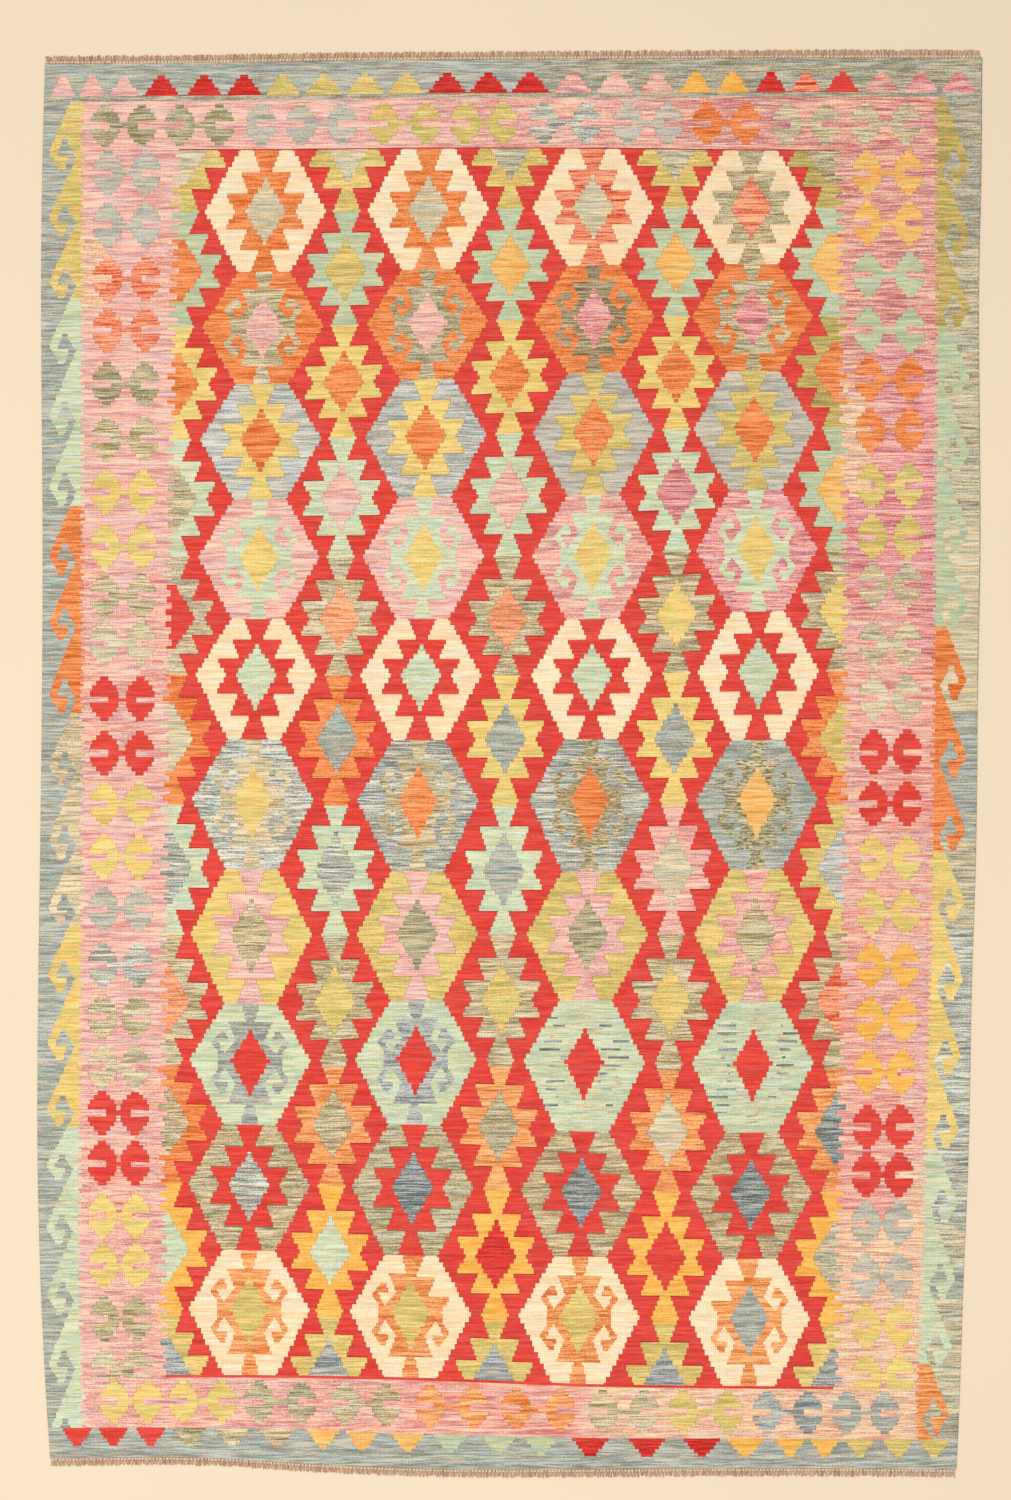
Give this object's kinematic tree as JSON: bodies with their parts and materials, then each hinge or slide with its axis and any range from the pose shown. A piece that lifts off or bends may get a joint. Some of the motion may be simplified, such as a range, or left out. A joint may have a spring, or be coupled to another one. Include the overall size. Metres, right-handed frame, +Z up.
{
  "type": "kilim rug",
  "caption": "Flat-woven wool kilim rug, lying flat, with a geometric field of hexagons and stars, a multiple border and short fringed ends.",
  "frame": {"origin": "middle of the rug's box, on the surface that it lies on", "axes": "+Z up out of the face; +Y along the length towards the end that is at the top of the picture; +X across to the right"},
  "size_m": [2.0152, 3.0586, 0.0039],
  "materials": {
    "woven_wool": "matte",
    "warp_cotton": "matte"
  },
  "bodies": {
    "root": {"cloth": "woven_wool", "fringe_top": "warp_cotton", "fringe_bottom": "warp_cotton"}
  },
  "joints": []
}
